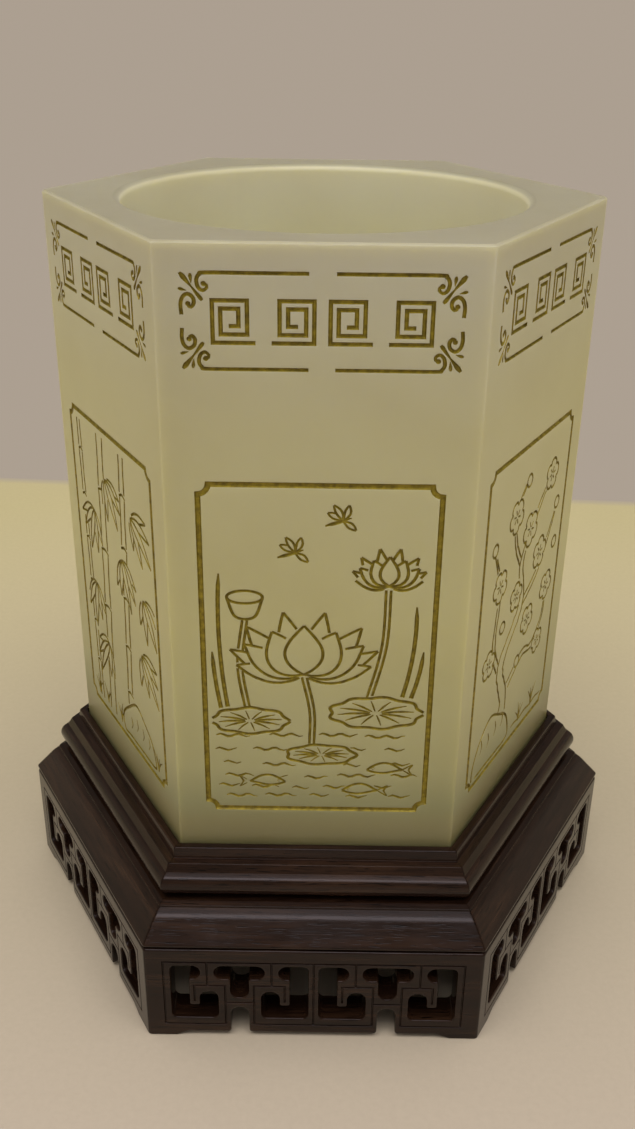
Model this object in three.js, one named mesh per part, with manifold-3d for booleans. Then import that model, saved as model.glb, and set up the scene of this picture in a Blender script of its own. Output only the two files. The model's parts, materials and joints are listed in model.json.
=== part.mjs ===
// Hexagonal jade brush pot standing in the recess of a mitred hardwood stand.
// Millimetres, +Z up. The origin is on the table, under the middle of the stand.
// The front of the object faces -Y.
import * as THREE from 'three';
import { mergeVertices } from 'three/addons/utils/BufferGeometryUtils.js';
import Module from 'manifold-3d';

const wasm = await Module();
wasm.setup();

// Jade pot
const POT_WIDTH = 90;
const POT_HEIGHT = 120;
const POT_ARRIS = 0.4;
const BORE_RADIUS = 37;
const BORE_FLOOR_THICKNESS = 11;
const BORE_FLOOR_FILLET = 5;
const BORE_MOUTH_CHAMFER = 1.4;

// Clearances
const POT_CLEARANCE = 0.3;
const BOARD_CLEARANCE = 0.3;
const BLOCK_CLEARANCE = 0.3;
const MITRE_GAP = 0.3;

// Aprons: pierced boards between the feet and the lower mouldings
const APRON_PROJECTION = 5.4;
const APRON_HEIGHT = 22.6;
const APRON_THICKNESS = 6;
const FOOT_WIDTH = 5.5;
const FOOT_HEIGHT = 1.1;
const FOOT_SWEEP = 2.6;

// Fretwork: two repeats on each apron, on both sides of a narrow middle post
const FRET_TOP_RAIL = 4.1;
const FRET_BOTTOM_RAIL = 4.9;
const FRET_POST = 2;
const FRET_END_STILE = 4.8;
const FRET_SLOT = 3.6;
const FRET_BAR = 3.4;
const FRET_TONGUE = 2;
const FRET_LOBE_WEB = 3.2;
const FRET_HOOK_REACH = 5.8;
const TEE_HEAD_WIDTH = 9.8;
const TEE_WEB = 2.5;
const ARCH_TOP = 7.8;
const FRET_CORNER = 0.9;
const FRET_INNER_CORNER = 0.45;
const FRET_HOOK_CORNER = 0.28;

// Lower moulding
const LOWER_HEIGHT = 7.2;
const LOWER_ARRIS_TUCK = 0.35;
const LOWER_STRIP_WIDTH = 1.05;
const LOWER_STRIP_DROP = 0.45;
const LOWER_STRIP_STEP = 0.45;
const LOWER_ROUND_WIDTH = 1.65;
const LOWER_ROUND_DROP = 1.4;
const LOWER_FILLET_HEIGHT = 0.45;
const LOWER_GROOVE_DEPTH = 0.9;
const LOWER_GROOVE_HEIGHT = 0.6;

// Seat board and top rails
const BOARD_THICKNESS = 3.4;
const BOARD_BEARING = 5.7;
const RECESS_DEPTH = 6.2;
const LIP_WIDTH = 1.5;
const FASCIA_HEIGHT = 2.2;
const FASCIA_LEAN = 0.35;
const REBATE_WIDTH = 1.7;
const STEP_WIDTH = 1.4;
const STEP_DROP = 0.2;
const SPLAY_WIDTH = 0.85;
const BEAD_RADIUS = 2.7;
const BEAD_PROJECTION = 5.7;
const NECK_HEIGHT = 0.5;

// Corner blocks
const BLOCK_LEG = 6;
const BLOCK_HEIGHT = 8;

// Derived sizes
const SIDES = 6;
const TURN = (2 * Math.PI) / SIDES;
const HALF_CORNER = TURN / 2;
const potApothem = POT_WIDTH / 2;
const lipInner = potApothem + POT_CLEARANCE;
const rebate = lipInner + REBATE_WIDTH;
const boardApothem = rebate - BOARD_CLEARANCE;
const lowerInner = boardApothem - BOARD_BEARING;
const beadSide = lipInner + BEAD_PROJECTION;
const apronOuter = beadSide + APRON_PROJECTION;
const apronInner = apronOuter - APRON_THICKNESS;
const apronHalf = apronOuter * Math.tan(HALF_CORNER);
const lowerTop = APRON_HEIGHT + LOWER_HEIGHT;
const seatTop = lowerTop + BOARD_THICKNESS;
const lipTop = seatTop + RECESS_DEPTH;
const fretTop = APRON_HEIGHT - FRET_TOP_RAIL;
const fretHalf = (apronHalf - FRET_END_STILE - FRET_POST / 2) / 2;
const fretCentre = FRET_POST / 2 + fretHalf;

// Smoothness of the curves
const ARC_STEPS = 2;
const BORE_STEPS = 72;

const jade = { color: 0xb9bd8a, roughness: 0.25, metalness: 0 };
const hardwood = { color: 0x2c1714, roughness: 0.4, metalness: 0 };

const sideNames = ['front', 'front_right', 'back_right', 'back', 'back_left', 'front_left'];
const cornerNames = ['front_right', 'right', 'back_right', 'back_left', 'left', 'front_left'];

// Sum of signed tetrahedra: positive when the faces point outwards.
function signedVolume(positions, indices) {
  const a = new THREE.Vector3();
  const b = new THREE.Vector3();
  const c = new THREE.Vector3();
  let volume = 0;
  for (let i = 0; i < indices.length; i += 3) {
    a.fromArray(positions, 3 * indices[i]);
    b.fromArray(positions, 3 * indices[i + 1]);
    c.fromArray(positions, 3 * indices[i + 2]);
    volume += a.dot(b.cross(c)) / 6;
  }
  return volume;
}

// Triangles that merging has folded flat, as at the poles of a lathe form, are left out.
function wholeTriangles(indices) {
  const kept = [];
  for (let i = 0; i < indices.length; i += 3) {
    const [a, b, c] = indices.slice(i, i + 3);
    if (a !== b && b !== c && c !== a) {
      kept.push(a, b, c);
    }
  }
  return kept;
}

function toSolid(geometry) {
  const plain = geometry.clone();
  plain.deleteAttribute('normal');
  plain.deleteAttribute('uv');
  const merged = mergeVertices(plain, 1e-4);
  const vertProperties = new Float32Array(merged.attributes.position.array);
  const triVerts = new Uint32Array(wholeTriangles(merged.index.array));
  if (signedVolume(vertProperties, triVerts) < 0) {
    triVerts.reverse();
  }
  return new wasm.Manifold(new wasm.Mesh({ numProp: 3, vertProperties, triVerts }));
}

function toGeometry(solid) {
  const mesh = solid.getMesh();
  const geometry = new THREE.BufferGeometry();
  geometry.setAttribute('position', new THREE.BufferAttribute(new Float32Array(mesh.vertProperties), 3));
  geometry.setIndex(new THREE.BufferAttribute(new Uint32Array(mesh.triVerts), 1));
  geometry.computeVertexNormals();
  return geometry;
}

function piece(name, geometry, look) {
  const mesh = new THREE.Mesh(geometry, new THREE.MeshStandardMaterial(look));
  mesh.name = name;
  return mesh;
}

function hexagon(apothem) {
  const radius = apothem / Math.cos(HALF_CORNER);
  const corners = cornerNames.map((_, k) => {
    const angle = k * TURN;
    return new THREE.Vector2(radius * Math.cos(angle), radius * Math.sin(angle));
  });
  return new THREE.Shape(corners);
}

// Closed path through right-angled corners [x, y, radius], each rounded by a quarter circle.
function roundedPath(corners) {
  const path = new THREE.Path();
  corners.forEach(([x, y, radius], i) => {
    const corner = new THREE.Vector2(x, y);
    const before = corners[(i + corners.length - 1) % corners.length];
    const after = corners[(i + 1) % corners.length];
    const back = new THREE.Vector2(before[0] - x, before[1] - y).normalize();
    const ahead = new THREE.Vector2(after[0] - x, after[1] - y).normalize();
    const centre = corner.clone().addScaledVector(back, radius).addScaledVector(ahead, radius);
    const start = Math.atan2(-ahead.y, -ahead.x);
    const end = Math.atan2(-back.y, -back.x);
    const clockwise = back.cross(ahead) > 0;
    path.absarc(centre.x, centre.y, radius, start, end, clockwise);
  });
  path.closePath();
  return path;
}

// One side of the hexagon as a mitred bar. The profile holds (distance from the axis, height)
// points, anticlockwise. Each runs sideways to the mitre plane, half a gap off the corner line.
function mitredBar(profile) {
  const inset = MITRE_GAP / 2 / Math.cos(HALF_CORNER);
  const count = profile.length;
  const positions = [];
  for (const end of [-1, 1]) {
    for (const point of profile) {
      positions.push(end * (point.x * Math.tan(HALF_CORNER) - inset), -point.x, point.y);
    }
  }
  const indices = [];
  for (const [a, b, c] of THREE.ShapeUtils.triangulateShape(profile, [])) {
    indices.push(a, b, c);
    indices.push(count + c, count + b, count + a);
  }
  for (let i = 0; i < count; i += 1) {
    const j = (i + 1) % count;
    indices.push(j, i, count + i);
    indices.push(j, count + i, count + j);
  }
  const geometry = new THREE.BufferGeometry();
  geometry.setAttribute('position', new THREE.Float32BufferAttribute(positions, 3));
  geometry.setIndex(indices);
  geometry.computeVertexNormals();
  return geometry;
}

// Jade block: a hexagonal prism with eased arrises and a round blind bore with a filleted floor.
function makePot() {
  const block = new THREE.ExtrudeGeometry(hexagon(potApothem), {
    depth: POT_HEIGHT - 2 * POT_ARRIS,
    bevelThickness: POT_ARRIS,
    bevelSize: POT_ARRIS,
    bevelOffset: -POT_ARRIS,
    bevelSegments: 1,
  });
  block.translate(0, 0, POT_ARRIS);
  const overshoot = 1;
  const profile = new THREE.Path();
  profile.moveTo(0, BORE_FLOOR_THICKNESS);
  profile.lineTo(BORE_RADIUS - BORE_FLOOR_FILLET, BORE_FLOOR_THICKNESS);
  profile.absarc(
    BORE_RADIUS - BORE_FLOOR_FILLET,
    BORE_FLOOR_THICKNESS + BORE_FLOOR_FILLET,
    BORE_FLOOR_FILLET,
    -Math.PI / 2,
    0,
    false,
  );
  profile.lineTo(BORE_RADIUS, POT_HEIGHT - BORE_MOUTH_CHAMFER);
  profile.lineTo(BORE_RADIUS + BORE_MOUTH_CHAMFER + overshoot, POT_HEIGHT + overshoot);
  profile.lineTo(0, POT_HEIGHT + overshoot);
  const bore = new THREE.LatheGeometry(profile.getPoints(ARC_STEPS), BORE_STEPS);
  bore.rotateX(Math.PI / 2);
  const mesh = piece('jade_pot', toGeometry(toSolid(block).subtract(toSolid(bore))), jade);
  mesh.position.z = seatTop;
  return mesh;
}

// Hooked opening of the fret, with its straight slot on the left: the slot turns in at the top
// in a short round hook, and at the bottom in an arm that rises again to a round lobe.
function hookOpening(left, mirrored) {
  const flip = mirrored ? -1 : 1;
  const slotRight = left + FRET_SLOT;
  const lobeLeft = slotRight + FRET_TONGUE;
  const lobeRight = lobeLeft + FRET_SLOT;
  const hookEnd = left + FRET_HOOK_REACH;
  const hookFoot = fretTop - FRET_BAR;
  const armTop = FRET_BOTTOM_RAIL + FRET_BAR;
  const lobeTop = hookFoot - FRET_LOBE_WEB;
  const corners = [
    [left, FRET_BOTTOM_RAIL, FRET_CORNER],
    [lobeRight, FRET_BOTTOM_RAIL, FRET_CORNER],
    [lobeRight, lobeTop, FRET_SLOT / 2],
    [lobeLeft, lobeTop, FRET_SLOT / 2],
    [lobeLeft, armTop, FRET_INNER_CORNER],
    [slotRight, armTop, FRET_INNER_CORNER],
    [slotRight, hookFoot, FRET_HOOK_CORNER],
    [hookEnd, hookFoot, FRET_BAR / 2],
    [hookEnd, fretTop, FRET_BAR / 2],
    [left, fretTop, FRET_CORNER],
  ];
  return corners.map(([x, y, radius]) => [flip * x, y, radius]);
}

function teeOpening() {
  const head = TEE_HEAD_WIDTH / 2;
  const stem = FRET_SLOT / 2;
  const stemFoot = ARCH_TOP + TEE_WEB;
  const headFoot = fretTop - FRET_BAR;
  return [
    [-stem, stemFoot, stem],
    [stem, stemFoot, stem],
    [stem, headFoot, FRET_INNER_CORNER],
    [head, headFoot, FRET_BAR / 2],
    [head, fretTop, FRET_BAR / 2],
    [-head, fretTop, FRET_BAR / 2],
    [-head, headFoot, FRET_BAR / 2],
    [-stem, headFoot, FRET_INNER_CORNER],
  ];
}

function shifted(corners, offset) {
  return corners.map(([x, y, radius]) => [x + offset, y, radius]);
}

// Face outline of an apron: feet at both ends, a raised edge between them that sweeps down to
// each foot, and an arched notch under the middle of each repeat. The top and the ends run past
// the bar that cuts them.
function apronOutline() {
  const overshoot = 5;
  const end = apronHalf + overshoot;
  const footInner = apronHalf - FOOT_WIDTH;
  const arch = FRET_SLOT / 2;
  const shape = new THREE.Shape();
  shape.moveTo(-end, -overshoot);
  shape.lineTo(-footInner, -overshoot);
  shape.lineTo(-footInner, 0);
  shape.quadraticCurveTo(-footInner + FOOT_SWEEP / 4, FOOT_HEIGHT, -footInner + FOOT_SWEEP, FOOT_HEIGHT);
  for (const centre of [-fretCentre, fretCentre]) {
    shape.lineTo(centre - arch, FOOT_HEIGHT);
    shape.absarc(centre, ARCH_TOP - arch, arch, Math.PI, 0, true);
    shape.lineTo(centre + arch, FOOT_HEIGHT);
  }
  shape.lineTo(footInner - FOOT_SWEEP, FOOT_HEIGHT);
  shape.quadraticCurveTo(footInner - FOOT_SWEEP / 4, FOOT_HEIGHT, footInner, 0);
  shape.lineTo(footInner, -overshoot);
  shape.lineTo(end, -overshoot);
  shape.lineTo(end, APRON_HEIGHT + overshoot);
  shape.lineTo(-end, APRON_HEIGHT + overshoot);
  shape.closePath();
  return shape;
}

// Apron: the pierced outline is extruded right through, then cut to the mitred bar.
function makeApronGeometry() {
  const shape = apronOutline();
  for (const centre of [-fretCentre, fretCentre]) {
    shape.holes.push(roundedPath(shifted(hookOpening(-fretHalf, false), centre)));
    shape.holes.push(roundedPath(shifted(hookOpening(-fretHalf, true), centre)));
    shape.holes.push(roundedPath(shifted(teeOpening(), centre)));
  }
  const overshoot = 1;
  const pierced = new THREE.ExtrudeGeometry(shape, {
    depth: APRON_THICKNESS + 2 * overshoot,
    bevelEnabled: false,
    curveSegments: ARC_STEPS,
  });
  pierced.rotateX(Math.PI / 2);
  pierced.translate(0, -(apronInner - overshoot), 0);
  const bar = mitredBar([
    new THREE.Vector2(apronInner, 0),
    new THREE.Vector2(apronOuter, 0),
    new THREE.Vector2(apronOuter, APRON_HEIGHT),
    new THREE.Vector2(apronInner, APRON_HEIGHT),
  ]);
  return toGeometry(toSolid(bar).intersect(toSolid(pierced)));
}

// Lower moulding: groove over the apron, fillet, slope, round-over, small step and sloping strip.
function lowerMouldingProfile() {
  const groove = apronOuter - LOWER_GROOVE_DEPTH;
  const grooveTop = APRON_HEIGHT + LOWER_GROOVE_HEIGHT;
  const slopeFoot = grooveTop + LOWER_FILLET_HEIGHT;
  const stripInner = beadSide - LOWER_ARRIS_TUCK;
  const stripOuter = stripInner + LOWER_STRIP_WIDTH;
  const stripFoot = lowerTop - LOWER_STRIP_DROP;
  const roundTop = stripFoot - LOWER_STRIP_STEP;
  const outline = new THREE.Path();
  outline.moveTo(lowerInner, APRON_HEIGHT);
  outline.lineTo(groove, APRON_HEIGHT);
  outline.lineTo(groove, grooveTop);
  outline.lineTo(apronOuter, grooveTop);
  outline.lineTo(apronOuter, slopeFoot);
  outline.lineTo(stripOuter + LOWER_ROUND_WIDTH, roundTop - LOWER_ROUND_DROP);
  outline.quadraticCurveTo(
    stripOuter + 0.6 * LOWER_ROUND_WIDTH,
    roundTop - 0.4 * LOWER_ROUND_DROP,
    stripOuter,
    roundTop,
  );
  outline.lineTo(stripOuter, stripFoot);
  outline.lineTo(stripInner, lowerTop);
  outline.lineTo(lowerInner, lowerTop);
  return outline.getPoints(3 * ARC_STEPS);
}

// Top rail: rebate over the seat board, neck, half-round bead, splay, step, leaning fascia, flat lip.
function topRailProfile() {
  const beadCentre = new THREE.Vector2(beadSide - BEAD_RADIUS, lowerTop + NECK_HEIGHT + BEAD_RADIUS);
  const fasciaFoot = lipInner + LIP_WIDTH + FASCIA_LEAN;
  const stepTop = lipTop - FASCIA_HEIGHT;
  const stepEdge = fasciaFoot + STEP_WIDTH;
  const beadStart = -Math.PI / 2;
  const beadEnd = Math.acos((stepEdge + SPLAY_WIDTH - beadCentre.x) / BEAD_RADIUS);
  const outline = new THREE.Path();
  outline.moveTo(rebate, lowerTop);
  outline.lineTo(beadCentre.x, lowerTop);
  outline.absarc(beadCentre.x, beadCentre.y, BEAD_RADIUS, beadStart, beadEnd, false);
  outline.lineTo(stepEdge, stepTop - STEP_DROP);
  outline.lineTo(fasciaFoot, stepTop);
  outline.lineTo(lipInner + LIP_WIDTH, lipTop);
  outline.lineTo(lipInner, lipTop);
  outline.lineTo(lipInner, seatTop);
  outline.lineTo(rebate, seatTop);
  return outline.getPoints(2 * ARC_STEPS);
}

function makeSeatBoard() {
  const board = new THREE.ExtrudeGeometry(hexagon(boardApothem), {
    depth: BOARD_THICKNESS,
    bevelEnabled: false,
  });
  const mesh = piece('seat_board', board, hardwood);
  mesh.position.z = lowerTop;
  return mesh;
}

// Corner block: a triangular prism that fills the corner behind two aprons.
function makeCornerBlockGeometry() {
  const reach = (apronInner - BLOCK_CLEARANCE) / Math.cos(HALF_CORNER);
  const wall = new THREE.Vector2(-Math.sin(HALF_CORNER), Math.cos(HALF_CORNER)).multiplyScalar(BLOCK_LEG);
  const shape = new THREE.Shape([
    new THREE.Vector2(reach, 0),
    new THREE.Vector2(reach + wall.x, wall.y),
    new THREE.Vector2(reach + wall.x, -wall.y),
  ]);
  const block = new THREE.ExtrudeGeometry(shape, { depth: BLOCK_HEIGHT, bevelEnabled: false });
  block.translate(0, 0, APRON_HEIGHT - BLOCK_HEIGHT);
  return block;
}

// Six copies of a piece, one for each side of the hexagon, starting at the front.
function ring(prefix, geometry, names, firstAngle) {
  const group = new THREE.Group();
  names.forEach((side, k) => {
    const mesh = piece(`${prefix}_${side}`, geometry, hardwood);
    mesh.rotation.z = firstAngle + k * TURN;
    group.add(mesh);
  });
  return group;
}

const stand = new THREE.Group();
stand.add(ring('apron', makeApronGeometry(), sideNames, 0));
stand.add(ring('lower_moulding', mitredBar(lowerMouldingProfile()), sideNames, 0));
stand.add(ring('top_rail', mitredBar(topRailProfile()), sideNames, 0));
stand.add(ring('corner_block', makeCornerBlockGeometry(), cornerNames, -TURN));
stand.add(makeSeatBoard());

const brushPot = new THREE.Group();
brushPot.add(stand);
brushPot.add(makePot());

export default brushPot;
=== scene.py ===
"""A hexagonal jade brush pot on a mitred hardwood stand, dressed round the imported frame.

Metres, +Z up, the front of the object faces -Y. Drawing on the pot and carving on the aprons are
laid out in millimetres on the face of one side and then carried round the hexagon.
"""
import json
import math

import bpy
import numpy as np
from mathutils import Matrix, Vector

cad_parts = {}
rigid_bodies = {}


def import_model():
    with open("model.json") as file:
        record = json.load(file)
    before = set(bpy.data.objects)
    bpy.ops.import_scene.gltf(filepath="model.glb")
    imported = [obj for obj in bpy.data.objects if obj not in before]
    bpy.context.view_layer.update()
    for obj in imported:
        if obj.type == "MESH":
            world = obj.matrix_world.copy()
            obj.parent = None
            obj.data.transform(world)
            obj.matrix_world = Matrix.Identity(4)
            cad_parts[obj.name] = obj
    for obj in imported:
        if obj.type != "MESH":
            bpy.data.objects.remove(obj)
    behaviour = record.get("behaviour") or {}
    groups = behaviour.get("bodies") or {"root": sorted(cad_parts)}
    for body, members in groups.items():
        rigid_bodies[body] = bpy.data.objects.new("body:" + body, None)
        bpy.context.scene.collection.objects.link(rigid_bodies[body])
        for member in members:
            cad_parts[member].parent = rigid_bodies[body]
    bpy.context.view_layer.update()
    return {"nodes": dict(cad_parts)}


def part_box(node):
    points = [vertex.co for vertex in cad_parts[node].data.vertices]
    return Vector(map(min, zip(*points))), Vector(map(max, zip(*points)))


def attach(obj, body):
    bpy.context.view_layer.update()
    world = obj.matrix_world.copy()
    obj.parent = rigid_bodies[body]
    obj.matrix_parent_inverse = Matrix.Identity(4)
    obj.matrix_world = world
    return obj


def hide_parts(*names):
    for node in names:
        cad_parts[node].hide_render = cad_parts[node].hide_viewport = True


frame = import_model()

MM = 0.001
SIDES = 6
TURN = 2 * math.pi / SIDES
TAN30 = math.tan(TURN / 2)
COS30 = math.cos(TURN / 2)
SIDE_NAMES = ("front", "front_right", "back_right", "back", "back_left", "front_left")

# Sizes taken from the frame, in millimetres, and the radius of the bore
POT_LOW, POT_HIGH = [np.array(c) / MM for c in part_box("jade_pot")]
POT_APOTHEM = POT_HIGH[1]
POT_BOTTOM, POT_TOP = POT_LOW[2], POT_HIGH[2]
APRON_LOW, APRON_HIGH = [np.array(c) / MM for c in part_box("apron_front")]
APRON_OUTER, APRON_INNER = -APRON_LOW[1], -APRON_HIGH[1]
APRON_TOP = APRON_HIGH[2]
LOWER_HIGH = np.array(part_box("lower_moulding_front")[1]) / MM
LOWER_INNER, LOWER_TOP = -LOWER_HIGH[1], LOWER_HIGH[2]
RAIL_LOW, RAIL_HIGH = [np.array(c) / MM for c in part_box("top_rail_front")]
BEAD_SIDE, LIP_INNER, LIP_TOP = -RAIL_LOW[1], -RAIL_HIGH[1], RAIL_HIGH[2]
SEAT_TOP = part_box("seat_board")[1][2] / MM
BORE_RADIUS = 37.0

# Camera, from the fit of the hexagons' corners in the photograph
PHOTO_HEIGHT = 1129
FOCAL_PIXELS = 1167.5
SENSOR_HEIGHT = 36
CAMERA_PLACE = (0.00022, -0.2220, 0.1883)
CAMERA_PITCH = math.radians(26.644)
CAMERA_YAW = math.radians(-0.168)
CAMERA_ROLL = math.radians(0.724)


def make_camera():
    """Looks down by the pitch, turned by the yaw, then rolled about the line of sight."""
    forward = Vector((
        math.sin(CAMERA_YAW) * math.cos(CAMERA_PITCH),
        math.cos(CAMERA_YAW) * math.cos(CAMERA_PITCH),
        -math.sin(CAMERA_PITCH),
    ))
    level = forward.cross(Vector((0, 0, 1))).normalized()
    upright = level.cross(forward)
    right = math.cos(CAMERA_ROLL) * level + math.sin(CAMERA_ROLL) * upright
    up = -math.sin(CAMERA_ROLL) * level + math.cos(CAMERA_ROLL) * upright
    data = bpy.data.cameras.new("camera")
    data.sensor_fit = "VERTICAL"
    data.sensor_height = SENSOR_HEIGHT
    data.lens = SENSOR_HEIGHT * FOCAL_PIXELS / PHOTO_HEIGHT
    data.clip_start = 0.01
    camera = bpy.data.objects.new("camera", data)
    turned = Matrix((right, up, -forward)).transposed().to_4x4()
    camera.matrix_world = Matrix.Translation(CAMERA_PLACE) @ turned
    bpy.context.scene.collection.objects.link(camera)
    bpy.context.scene.camera = camera


# Shader helpers

def feed(tree, node, inputs):
    """Fills the named inputs of a node: a socket is linked to its input, a plain value set on it."""
    for key, source in inputs.items():
        if isinstance(source, bpy.types.NodeSocket):
            tree.links.new(source, node.inputs[key])
        else:
            node.inputs[key].default_value = source


def add_node(tree, kind, inputs=None, **settings):
    """A shader node with its settings and its inputs, linked or plain."""
    made = tree.nodes.new(kind)
    for key, value in settings.items():
        setattr(made, key, value)
    feed(tree, made, inputs or {})
    return made


def object_place(tree):
    return add_node(tree, "ShaderNodeTexCoord").outputs["Object"]


def parts_of(tree, vector):
    """The X, Y and Z outputs of a vector."""
    return add_node(tree, "ShaderNodeSeparateXYZ", {"Vector": vector}).outputs


def ramp(tree, source, stops):
    """A colour ramp whose stops are (position, colour)."""
    made = add_node(tree, "ShaderNodeValToRGB", {"Fac": source})
    elements = made.color_ramp.elements
    while len(elements) < len(stops):
        elements.new(0.5)
    for element, (position, colour) in zip(elements, stops):
        element.position = position
        element.color = (*colour, 1)
    return made.outputs["Color"]


def scaled(tree, vector, scale):
    return add_node(tree, "ShaderNodeMapping", {"Vector": vector, "Scale": scale}).outputs["Vector"]


def noise(tree, vector, scale, detail=3.0, roughness=0.5, distortion=0.0):
    return add_node(tree, "ShaderNodeTexNoise", {
        "Vector": vector, "Scale": scale, "Detail": detail, "Roughness": roughness,
        "Distortion": distortion}).outputs["Fac"]


def map_range(tree, source, low, high, to_low=0.0, to_high=1.0):
    return add_node(tree, "ShaderNodeMapRange", {
        "Value": source, "From Min": low, "From Max": high, "To Min": to_low,
        "To Max": to_high}).outputs["Result"]


def calculate(tree, operation, *numbers):
    """The result of a Math node on one number or two."""
    return add_node(tree, "ShaderNodeMath", dict(enumerate(numbers)), operation=operation).outputs["Value"]


def mix_colour(tree, factor, first, second, blend="MIX"):
    inputs = {0: factor, 6: first, 7: second}
    return add_node(tree, "ShaderNodeMix", inputs, data_type="RGBA", blend_type=blend).outputs[2]


def bump(tree, height, strength, distance):
    return add_node(tree, "ShaderNodeBump", {
        "Height": height, "Strength": strength, "Distance": distance}).outputs["Normal"]


def new_material(name):
    material = bpy.data.materials.new(name)
    material.use_nodes = True
    tree = material.node_tree
    return material, tree, tree.nodes["Principled BSDF"]


def make_handling_group():
    """Soft smears that polishing and handling leave: a mask of broad, faint streaks."""
    group = bpy.data.node_groups.new("handling_smears", "ShaderNodeTree")
    for name, way, kind in (("Vector", "INPUT", "NodeSocketVector"), ("Scale", "INPUT", "NodeSocketFloat"),
                            ("Smears", "OUTPUT", "NodeSocketFloat")):
        group.interface.new_socket(name, in_out=way, socket_type=kind)
    given = add_node(group, "NodeGroupInput").outputs
    streaks = noise(group, given["Vector"], given["Scale"], 3.0, 0.5, 0.3)
    add_node(group, "NodeGroupOutput", {"Smears": map_range(group, streaks, 0.35, 0.7)})
    return group


def smears_of(tree, group, vector, scale):
    inputs = {"Vector": vector, "Scale": scale}
    return add_node(tree, "ShaderNodeGroup", inputs, node_tree=group).outputs["Smears"]


# Share of the pot's height and the stone's colour there, with painted shade: darker towards the foot,
# which stands in the stand's dark recess; the last two are the rim's edge and the rim, both painted
# darker against the light that falls on the top
JADE_TONES_WITH_PAINTED_SHADE = (
    (0.0, (0.123, 0.112, 0.047)),
    (0.065, (0.185, 0.165, 0.074)),
    (0.09, (0.220, 0.198, 0.090)),
    (0.13, (0.258, 0.252, 0.121)),
    (0.2, (0.372, 0.353, 0.174)),
    (0.45, (0.484, 0.453, 0.223)),
    (0.75, (0.477, 0.446, 0.254)),
    (0.97, (0.474, 0.452, 0.330)),
    (0.996, (0.448, 0.426, 0.315)),
    (1.0, (0.305, 0.280, 0.196)),
)
JADE_CLOUDS = ((0.30, (0.95, 0.94, 0.91)), (0.50, (1.0, 1.0, 1.0)), (0.72, (1.03, 1.04, 1.07)))

# Factors on the stone's colour from 1 mm inside the bore's wall to 3 mm outside it: painted light
# brightens the bore as though its thin wall were lit from both sides, and painted shade darkens the mouth
HOLLOW_FROM, HOLLOW_TO = BORE_RADIUS - 1.0, BORE_RADIUS + 3.0
BORE_PAINTED_LIGHT_AND_SHADE = (
    (0.30, (1.24, 1.24, 1.22)),
    (0.36, (0.86, 0.86, 0.86)),
    (0.56, (0.86, 0.86, 0.86)),
    (0.66, (1.0, 1.0, 1.0)),
)


def make_jade(handling):
    """Pale yellow-green stone: milky, lit from within and polished. Its colour carries painted shade,
    deeper in tone towards the solid foot that stands in the dark recess and on the rim, and painted
    light inside the bore."""
    material, tree, shader = new_material("jade")
    place = object_place(tree)
    height = map_range(tree, parts_of(tree, place)["Z"], POT_BOTTOM * MM, POT_TOP * MM)
    flat = scaled(tree, place, (1.0, 1.0, 0.0))
    radius = add_node(tree, "ShaderNodeVectorMath", {0: flat}, operation="LENGTH").outputs["Value"]
    # Painted shade by height, then painted light and shade by the distance from the bore's axis
    colour = ramp(tree, height, JADE_TONES_WITH_PAINTED_SHADE)
    for source, tones in ((noise(tree, place, 30.0, 3.0, 0.5, 0.3), JADE_CLOUDS),
                          (map_range(tree, radius, HOLLOW_FROM * MM, HOLLOW_TO * MM), BORE_PAINTED_LIGHT_AND_SHADE)):
        colour = mix_colour(tree, 1.0, colour, ramp(tree, source, tones), "MULTIPLY")
    smears = smears_of(tree, handling, place, 60.0)
    feed(tree, shader, {
        "Base Color": colour,
        "Roughness": map_range(tree, smears, 0.0, 1.0, 0.30, 0.36),
        "Normal": bump(tree, noise(tree, place, 260.0, 2.0), 0.04, 0.0004),
        "IOR": 1.5,
        "Subsurface Weight": 0.6,
        "Subsurface Radius": (1.0, 0.95, 0.6),
        "Subsurface Scale": 0.006,
    })
    return material


GILT_TONES = ((0.30, (0.135, 0.098, 0.008)), (0.50, (0.225, 0.172, 0.010)), (0.72, (0.330, 0.262, 0.020)))


def make_gilt():
    """Gold paint in the engraved lines, thin and brown in patches."""
    material, tree, shader = new_material("gilt")
    place = object_place(tree)
    patches = noise(tree, place, 900.0, 3.0, 0.6)
    feed(tree, shader, {
        "Base Color": ramp(tree, patches, GILT_TONES),
        "Roughness": map_range(tree, patches, 0.3, 0.7, 0.55, 0.36),
        "Normal": bump(tree, noise(tree, place, 2500.0, 2.0), 0.25, 0.00005),
        "Metallic": 0.35,
        "IOR": 1.5,
    })
    return material


ROSEWOOD_DARK, ROSEWOOD_MIDDLE = (0.0062, 0.0027, 0.0016), (0.0138, 0.0063, 0.0036)
ROSEWOOD_LIGHT = (0.0320, 0.0150, 0.0078)


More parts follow.
